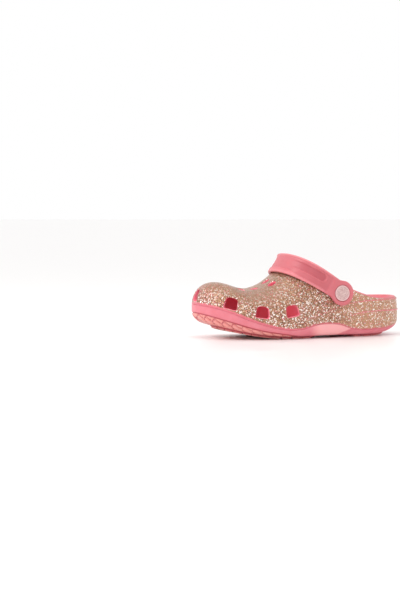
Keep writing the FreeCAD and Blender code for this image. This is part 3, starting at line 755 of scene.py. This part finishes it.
# %% Strap surface, bent along the path
PIVOT_RUN, COLUMN_STEP, EDGE_R = 11.5, 0.55, 1.15      # the way along the path to the pivot, and so on
turns = np.linspace(0, math.pi / 2, 22)[:-1]
start_run = PIVOT_RUN - STRAP_END_R * np.cos(turns)
columns = np.concatenate([start_run, np.arange(PIVOT_RUN, walk[-1] / 2, COLUMN_STEP)])
columns = np.concatenate([columns, walk[-1] - columns[::-1]])
s, y = path_s(columns), path_y(columns)
ds, dy = (path_s(columns + 0.05) - path_s(columns - 0.05)), (path_y(columns + 0.05) - path_y(columns - 0.05))
normal = np.stack([-dy, ds], -1) / np.hypot(ds, dy)[:, None]
fine = np.linspace(0, 12, 1201)
inside = edge_distance(s[:, None], fine[None, :]) > 0
width = fine[np.maximum(inside.shape[1] - 1 - np.argmax(inside[:, ::-1], axis=1), 0)] * inside.any(axis=1)
turn = np.linspace(-math.pi / 2, math.pi / 2, 56)
spread = np.sin(turn) * 0.45 + turn / (math.pi / 2) * 0.55
outer_n = width[:, None] * spread[None, :]
inner_n = outer_n[:, ::-1][:, ::2]


def rounding(edge):
    inset = np.clip(EDGE_R - np.maximum(edge, 0), 0, EDGE_R)
    return EDGE_R - np.sqrt(EDGE_R**2 - inset**2)


outer_edge = edge_distance(s[:, None], outer_n)
inner_edge = edge_distance(s[:, None], inner_n)
outer_t = STRAP_THICK - np.maximum(rounding(outer_edge), outer_relief(s[:, None], outer_n, outer_edge))
inner_t = 0.8 * rounding(inner_edge)
n, t = np.concatenate([outer_n, inner_n], 1), np.concatenate([outer_t, inner_t], 1)
lean = math.radians(STRAP_LEAN)
flat_s = s[:, None] + normal[:, None, 0] * t
flat_y = y[:, None] + normal[:, None, 1] * t
n = n + droop(s)[:, None]
strap_places = np.stack([PIVOT[0] + flat_s * math.cos(lean) - n * math.sin(lean), PIVOT[1] + flat_y,
                         PIVOT[2] + flat_s * math.sin(lean) + n * math.cos(lean)], -1)
strap = wrapped(np.swapaxes(strap_places, 0, 1))
print("strap volume", round(strap.calc_volume(signed=True) * 1e9), "mm3")

# %% Rivet holes and recesses in the strap
face = SEAT + STRAP_THICK
RECESS_R, RECESS_DEPTH, BORE_R = 7.2, 1.5, 2.98
for side in (1, -1):
    floor_level = face - RECESS_DEPTH
    bore = lathe([(0, SEAT - 3), (BORE_R, SEAT - 3), (BORE_R, floor_level), (RECESS_R, floor_level),
                  (RECESS_R, face - 0.45), (RECESS_R + 0.13, face - 0.13), (RECESS_R + 0.45, face),
                  (RECESS_R + 0.6, face + 2), (0, face + 2)], side, steps=96)
    strap = cut(strap, bore, LEAST_FROM_STRAP)
strap = finish_piece(strap, "heel_strap", "strap", "heel_strap", 50)

# %% [markdown]
# ## Rivets
# Each rivet is a plastic button with a shank that snaps into a cap inside the shoe. Everything on it is
# round, so it is turned on a lathe: the button with a raised rim, a foil disc in its face with a ring and a
# small star, and the domed cap.

# %% Buttons, foil discs and caps
BUTTON_R, BUTTON_THICK, SHANK_R = 6.8, 1.7, 2.9
CAP_R, CAP_THICK, INLAY_R = 6.5, 1.9, 5.7
under = face - RECESS_DEPTH + 0.1
top = under + BUTTON_THICK
tip = seat_back - CAP_THICK + 0.5
cap_face = seat_back - 0.04
cap_back = cap_face - CAP_THICK
outer_round = [(BUTTON_R - 0.5 + 0.5 * math.sin(a), top - 0.5 + 0.5 * math.cos(a))
               for a in np.radians([0, 30, 60, 90])]
button_profile = [(0, top - 0.5), (INLAY_R, top - 0.5), (INLAY_R + 0.04, top - 0.2), (INLAY_R + 0.2, top),
                  *outer_round, (BUTTON_R, under + 0.15), (BUTTON_R - 0.15, under), (SHANK_R, under),
                  (SHANK_R, tip + 0.3), (SHANK_R - 0.3, tip), (0, tip)]
foil_profile = [(0, top - 0.46), (INLAY_R - 0.02, top - 0.46), (INLAY_R - 0.02, top - 0.22),
                (5.1, top - 0.14), (4.75, top - 0.2), (4.45, top - 0.05), (4.0, top - 0.05),
                (3.7, top - 0.2), (0, top - 0.14)]
cap_profile = [(SHANK_R + 0.04, cap_face), (CAP_R - 0.1, cap_face), (CAP_R, cap_face - 0.1),
               (CAP_R, cap_back + 0.7), (CAP_R - 0.2, cap_back + 0.22), (CAP_R - 0.7, cap_back),
               (3.4, cap_back), (3.1, cap_back + 0.3), (SHANK_R + 0.04, cap_back + 0.3),
               (SHANK_R + 0.04, cap_face)]


def star(side, level, height, outer=3.3, inner=1.4):
    """A small raised five-pointed star, flat on top."""
    bm = bmesh.new()
    bmesh.ops.create_circle(bm, cap_ends=True, segments=10, radius=1.0)
    for v in bm.verts:
        angle = math.atan2(v.co.y, v.co.x)
        radius = outer if round(angle / (math.pi / 5)) % 2 == 0 else inner
        v.co = Vector((math.cos(angle), math.sin(angle), 0)) * radius * MM
        v.co.z = level * MM
    faces = bmesh.ops.extrude_face_region(bm, geom=bm.faces[:])["geom"]
    for v in [g for g in faces if isinstance(g, bmesh.types.BMVert)]:
        v.co.z = (level + height) * MM
    bmesh.ops.transform(bm, matrix=Matrix.Rotation(math.pi / 2, 4, "Z"), verts=bm.verts)
    return set_on_axis(bm, side)


rivets, foils = [], []
for side, end in ((1, "outer"), (-1, "inner")):
    name = "rivet_button_" + end
    rivets.append(finish_piece(lathe(button_profile, side), name, "clog", name))
    name = "button_inlay_" + end
    inlay = joined([lathe(foil_profile, side), star(side, top - 0.3, 0.28)])
    foils.append(finish_piece(inlay, name, "clog", name, 25))
    name = "rivet_snap_cap_" + end
    rivets.append(finish_piece(lathe(cap_profile, side), name, "clog", name))

# %% [markdown]
# ## Materials
# Every finish is procedural. The foams differ in how saturated and how matt they are. The film is a clear
# layer full of tiny metallic flakes, each with its own tilt and tone, and where it was stretched over an
# edge or a raised line the pink foam shows between the flakes. Some colours are painted light and shade:
# the lighter treads, arch panel and strap beads, the darker grooves, sunk strap panels and crown of the
# film, and near-white glints on a few flakes.

# %% Helpers for node materials
def linear(red, green, blue):
    """A screen colour, 0 to 255, as linear light."""
    values = np.array([red, green, blue]) / 255
    return tuple(np.where(values <= 0.04045, values / 12.92, ((values + 0.055) / 1.055) ** 2.4)) + (1.0,)


class Recipe:
    """A material whose nodes can be added and joined in a few words."""
    COLOUR_A, COLOUR_B, COLOUR_OUT = 6, 7, 2      # the colour sockets of a mix node, which share their names

    def __init__(self, name):
        self.material = bpy.data.materials.new(name)
        self.material.use_nodes = True
        self.nodes = self.material.node_tree.nodes
        self.links = self.material.node_tree.links
        self.shader = self.nodes["Principled BSDF"]
        self.place = self.nodes.new("ShaderNodeTexCoord").outputs["Object"]

    def join(self, value, socket):
        if isinstance(value, bpy.types.NodeSocket):
            self.links.new(value, socket)
        else:
            socket.default_value = value

    def add(self, kind, **inputs):
        """A new node with some inputs set or joined, by name; returns its outputs."""
        node = self.nodes.new("ShaderNode" + kind)
        for key, value in inputs.items():
            self.join(value, node.inputs[key.replace("_", " ")])
        return node.outputs

    def noise(self, scale, detail=3.0, rough=0.5):
        return self.add("TexNoise", Vector=self.place, Scale=scale, Detail=detail, Roughness=rough)["Fac"]

    def cells(self, scale):
        return self.add("TexVoronoi", Vector=self.place, Scale=scale)["Color"]

    def between(self, value, low, high, start=0.0, end=1.0):
        return self.add("MapRange", Value=value, From_Min=low, From_Max=high, To_Min=start,
                        To_Max=end)["Result"]

    def bump(self, height, strength, distance):
        return self.add("Bump", Height=height, Strength=strength, Distance=distance)["Normal"]

    def maths(self, operation, *values, kind="ShaderNodeMath"):
        node = self.nodes.new(kind)
        node.operation = operation
        for value, socket in zip(values, node.inputs):
            self.join(value, socket)
        return node.outputs[0]

    def vectors(self, operation, *values):
        return self.maths(operation, *values, kind="ShaderNodeVectorMath")

    def bands(self, value, stops):
        node = self.nodes.new("ShaderNodeValToRGB")
        ramp = node.color_ramp
        ramp.interpolation = "CONSTANT"
        while len(ramp.elements) < len(stops):
            ramp.elements.new(0.5)
        for element, (position, colour) in zip(ramp.elements, stops):
            element.position, element.color = position, colour
        self.links.new(value, node.inputs["Fac"])
        return node.outputs["Color"]

    def mix(self, share, a, b):
        node = self.nodes.new("ShaderNodeMix")
        node.data_type = "RGBA"
        self.join(share, node.inputs["Factor"])
        self.join(a, node.inputs[self.COLOUR_A])
        self.join(b, node.inputs[self.COLOUR_B])
        return node.outputs[self.COLOUR_OUT]

    def attribute(self, name):
        node = self.nodes.new("ShaderNodeAttribute")
        node.attribute_name = name
        return node.outputs["Fac"]

    def over(self, attribute, colour):
        """Lays a colour over the base colour, where an attribute says so."""
        base = self.shader.inputs["Base Color"]
        self.join(self.mix(self.attribute(attribute), base.links[0].from_socket, colour), base)

    def finish(self, pieces, **inputs):
        for key, value in inputs.items():
            self.join(value, self.shader.inputs[key.replace("_", " ")])
        for piece in pieces:
            piece.data.materials.clear()
            piece.data.materials.append(self.material)


def mark(piece, name, values):
    """Stores a number on every vertex, for a material to read."""
    layer = piece.data.attributes.new(name, "FLOAT", "POINT")
    layer.data.foreach_set("value", np.ascontiguousarray(values, dtype=np.float32))


def vertices(piece):
    """Vertex places in millimetres from the heel."""
    flat_places = np.zeros(len(piece.data.vertices) * 3, np.float32)
    piece.data.vertices.foreach_get("co", flat_places)
    return flat_places.reshape(-1, 3).astype(float) / MM + [LENGTH / 2, 0, 0]


# %% Foams
PORE_SCALE, PORE_BUMP, PORE_DEPTH = 2600, 0.35, 0.00012


def foam_recipe(name, pieces, colour, pale, roughness):
    """Matt foam with clouds of a paler tone and fine pores."""
    recipe = Recipe(name)
    tone = recipe.mix(recipe.between(recipe.noise(90, 3), 0.35, 0.7), colour, pale)
    pores = recipe.noise(PORE_SCALE, 4, 0.65)
    rough = recipe.between(recipe.noise(500, 2), 0.3, 0.7, roughness - 0.05, roughness + 0.06)
    recipe.finish(pieces, Base_Color=tone, Roughness=rough, Normal=recipe.bump(pores, PORE_BUMP, PORE_DEPTH),
                  Subsurface_Weight=0.12, Subsurface_Radius=(0.004, 0.0015, 0.001), Subsurface_Scale=0.6)
    return recipe


def bearing(points):
    """Direction in plan of points seen from the middle of the foot."""
    return np.arctan2(points[:, 1] - spine_y(points[:, 0]), points[:, 0] - AXIS_X)


# Painted light and shade: the arch panel and treads are drawn lighter for the light on them, the grooves
# darker for their shade.
ARCH_PAINTED_HIGHLIGHT, TREAD_PAINTED_LIGHT, GROOVE_PAINTED_SHADE = linear(253, 180, 182), linear(238, 160, 152), linear(190, 82, 92)
RIM_DEPTH, RIM_FADE, OPENING_END, ARCH_GLOSS = 2.6, 1.2, 112, 0.14
inner_recipe = foam_recipe("inner foam", [foam], linear(254, 134, 154), linear(255, 146, 164), 0.5)
spots = vertices(foam)
on_rim = np.clip((spots[:, 2] - collar_z(spots[:, 0]) + RIM_DEPTH) / RIM_FADE, 0, 1)
mark(foam, "rim", on_rim * (spots[:, 0] < OPENING_END))
inner_recipe.over("rim", linear(222, 128, 134))

strap_recipe = foam_recipe("strap foam", [strap], linear(214, 112, 120), linear(220, 119, 127), 0.46)
spots = vertices(strap) - PIVOT
along = spots[:, 0] * math.cos(lean) + spots[:, 2] * math.sin(lean)
over = spots[:, 2] * math.cos(lean) - spots[:, 0] * math.sin(lean) - droop(along)
edge = edge_distance(along, over)
# Painted shade: the sunk panel and its well are drawn darker, by how deep they lie under the face.
mark(strap, "sunk", np.clip(outer_relief(along, over, edge) / 1.6, 0, 1) * 0.5)
# Painted highlight: the raised beads along the strap's edges are drawn lighter.
mark(strap, "bead_highlight", np.clip(1.3 - edge / 2.4, 0, 1) * step_between(along, 10, 20) * 0.65)
strap_recipe.over("sunk", linear(176, 70, 82))
strap_recipe.over("bead_highlight", linear(240, 150, 156))

# %% Sole and treads
sole_recipe = foam_recipe("sole foam", [sole], linear(226, 124, 136), linear(234, 138, 150), 0.46)
spots = vertices(sole)
# The arch panel's mask: it draws a painted highlight on the panel and also makes it glossier.
mark(sole, "arch", arch_panel(spots) * (spots[:, 2] < parting_z(spots[:, 0]) + 0.3))
order = np.argsort(bearing(edge_low))
spot_arcs = np.interp(bearing(spots), bearing(edge_low)[order], sole_arcs[order])
tread, lug_groove = climbing_lugs(spots, spot_arcs)
outside = spots[:, 2] < parting_z(spots[:, 0]) - 0.5
# Painted light: the toe's climbing lugs get the lighter tread colour, for light thrown up from below.
mark(sole, "tread", tread * outside)
# Painted shade: the grooves of the climbing lugs and the line along their top are drawn darker.
mark(sole, "groove", lug_groove * outside)
for name, colour in (("arch", ARCH_PAINTED_HIGHLIGHT), ("tread", TREAD_PAINTED_LIGHT), ("groove", GROOVE_PAINTED_SHADE)):
    sole_recipe.over(name, colour)
rough = sole_recipe.shader.inputs["Roughness"]
gloss = sole_recipe.maths("MULTIPLY", sole_recipe.attribute("arch"), ARCH_GLOSS)
sole_recipe.join(sole_recipe.maths("SUBTRACT", rough.links[0].from_socket, gloss), rough)

# Painted light: the tread pads are the sole's foam drawn lighter, for light thrown up from below onto the
# underside.
tread_recipe = foam_recipe("tread foam", treads, TREAD_PAINTED_LIGHT, linear(240, 160, 154), 0.58)
for pad in treads:
    spots = vertices(pad)
    # Painted shade: the tread's groove floors, which stand higher than the lugs, are drawn darker.
    mark(pad, "groove", np.clip((spots[:, 2] - ground_z(spots[:, 0]) - 0.25) / 0.8, 0, 1))
tread_recipe.over("groove", GROOVE_PAINTED_SHADE)

# %% Rivets
plastic = Recipe("rivet plastic")
plastic.finish(rivets, Base_Color=linear(236, 196, 196),
               Roughness=plastic.between(plastic.noise(700, 2), 0.3, 0.7, 0.3, 0.4))
foil = Recipe("foil")
sheen = foil.noise(1500, 3)
tone = foil.mix(foil.between(sheen, 0.4, 0.62), linear(228, 200, 196), linear(196, 156, 154))
foil.finish(foils, Base_Color=tone, Metallic=0.6, Roughness=0.34, Normal=foil.bump(sheen, 0.25, 0.0001))

# %% Where the film is stretched or bare
spots = vertices(film)
over_parting = spots[:, 2] - parting_z(spots[:, 0])
near_parting = np.clip(1 - over_parting / 3.2, 0, 1) * (0.55 + 0.45 * step_between(spots[:, 0], 96, 150))
toe_bare = step_between(spots[:, 0], 150, 186) * 0.3
mark(film, "fore", step_between(spots[:, 0], 48, 84))
mark(film, "bare", np.clip(np.maximum(np.maximum(relief(spots) * 0.5, near_parting), toe_bare), 0, 1))

# %% The glitter film
FINE_FLAKES, COARSE_FLAKES, RAGGED_EDGE = 1900, 1150, 900      # scales of the textures
FLAKE_TILT, FLAKE_METAL = 0.75, 0.55
DARK, BROWN, TAN = linear(104, 74, 58), linear(144, 104, 80), linear(172, 124, 90)
ROSE, PALE_GOLD, HEEL_GOLD = linear(196, 142, 110), linear(236, 200, 172), linear(224, 174, 138)
PAINTED_GLINT, CROWN_PAINTED_SHADE, FOAM_PINK = linear(255, 244, 236), linear(150, 108, 74), linear(226, 112, 126)
glitter = Recipe("glitter film")
split = glitter.add("SeparateColor", Color=glitter.cells(FINE_FLAKES))
coarse = glitter.cells(COARSE_FLAKES)
fore = glitter.attribute("fore")
base = glitter.bands(split["Red"], [(0, DARK), (0.22, BROWN), (0.44, TAN), (0.68, ROSE), (0.91, PALE_GOLD)])
base = glitter.mix(glitter.maths("MULTIPLY", glitter.maths("SUBTRACT", 1.0, fore), 0.4), base, HEEL_GOLD)
# Painted glints: a few coarse flakes, a little more on the forefoot, are drawn near-white for flakes that
# catch the light.
glint_chance = glitter.add("SeparateColor", Color=coarse)["Green"]
glint_chance = glitter.maths("ADD", glint_chance, glitter.maths("MULTIPLY", fore, 0.05))
base = glitter.mix(glitter.between(glint_chance, 0.87, 0.88), base, PAINTED_GLINT)
ragged = glitter.maths("MULTIPLY", glitter.noise(RAGGED_EDGE, 3, 0.7), 0.8)
showing = glitter.between(glitter.maths("ADD", glitter.attribute("bare"), ragged), 0.72, 0.86)
between_flakes = glitter.maths("MAXIMUM", showing, glitter.between(split["Blue"], 0.93, 0.935))
true_normal = glitter.add("NewGeometry")["Normal"]
# Painted shade: film that faces up is drawn in a darker tan, by its normal, and is also made less metallic.
upward = glitter.between(glitter.add("SeparateXYZ", Vector=true_normal)["Z"], 0.25, 0.85)
base = glitter.mix(glitter.maths("MULTIPLY", upward, 0.72), base, CROWN_PAINTED_SHADE)
colour = glitter.mix(between_flakes, base, FOAM_PINK)
tilt = glitter.vectors("SUBTRACT", coarse, (0.5, 0.5, 0.5))
tilt = glitter.vectors("MULTIPLY", tilt, (FLAKE_TILT, FLAKE_TILT, FLAKE_TILT))
normal = glitter.vectors("NORMALIZE", glitter.vectors("ADD", true_normal, tilt))
flakes = glitter.maths("MULTIPLY", glitter.maths("SUBTRACT", 1.0, between_flakes), FLAKE_METAL)
metal = glitter.maths("MULTIPLY", flakes, glitter.between(upward, 0.0, 1.0, 1.0, 0.45))
glitter.finish([film], Base_Color=colour, Metallic=metal, Roughness=0.38, Normal=normal,
               Coat_Weight=0.25, Coat_Roughness=0.28)

# %% [markdown]
# ## Studio
# The shoe stands on a wide, pale, faintly glossy floor in white light from all round. A soft lamp hangs
# above it and a smaller one stands on the side of the toe. The camera looks at the outer side from just
# above the floor.

# %% Floor, and where the camera looks from
AZIMUTH, ELEVATION, DISTANCE = math.radians(159.52), math.radians(3.03), 1.5
towards = Vector((math.sin(AZIMUTH), -math.cos(AZIMUTH), 0))
right = Vector((-towards.y, towards.x, 0))
FLOOR_R = 30.0
bm = bmesh.new()
bmesh.ops.create_circle(bm, cap_ends=True, segments=64, radius=FLOOR_R)
bmesh.ops.recalc_face_normals(bm, faces=bm.faces)
if next(iter(bm.faces)).normal.z < 0:
    bmesh.ops.reverse_faces(bm, faces=bm.faces)
ground = object_from(bm, "floor")
paper = Recipe("paper")
paper.finish([ground], Base_Color=linear(250, 248, 247),
             Roughness=paper.between(paper.noise(30, 2), 0.3, 0.7, 0.3, 0.36))

# %% Lights and world
def aimed(name, data, place, way):
    """A lamp or a camera at a place, looking one way."""
    thing = bpy.data.objects.new(name, data)
    thing.location = place
    thing.rotation_euler = way.to_track_quat("-Z", "Y").to_euler()
    bpy.context.collection.objects.link(thing)
    return thing


def area_light(name, place, aim, size, power):
    light = bpy.data.lights.new(name, "AREA")
    light.shape, light.size, light.energy = "DISK", size, power
    aimed(name, light, place, aim - place)


centre = Vector((0, 0, 0.035))
area_light("overhead", centre + Vector((0.15, 0.1, 0.95)), centre, 0.5, 1.4)
area_light("toe side", centre - right * 0.8 + towards * 0.35 + Vector((0, 0, 0.75)), centre, 0.25, 3.2)
world = bpy.data.worlds.new("world")
world.use_nodes = True
world.node_tree.nodes["Background"].inputs["Color"].default_value = (1, 1, 1, 1)
world.node_tree.nodes["Background"].inputs["Strength"].default_value = 1.0
bpy.context.scene.world = world
bpy.context.scene.view_settings.view_transform = "Standard"

# %% Camera
AIM_RIGHT, AIM_UP, LENS = -0.08612, -0.00325, 152.8
camera_way = Vector((math.sin(AZIMUTH) * math.cos(ELEVATION), -math.cos(AZIMUTH) * math.cos(ELEVATION),
                     math.sin(ELEVATION)))
up = right.cross(-camera_way)
aim = centre + right * AIM_RIGHT + up * AIM_UP
lens = bpy.data.cameras.new("camera")
lens.sensor_fit, lens.sensor_width, lens.lens = "HORIZONTAL", 36.0, LENS
lens.clip_start, lens.clip_end = 0.1, 20.0
bpy.context.scene.camera = aimed("camera", lens, aim + camera_way * DISTANCE, -camera_way)
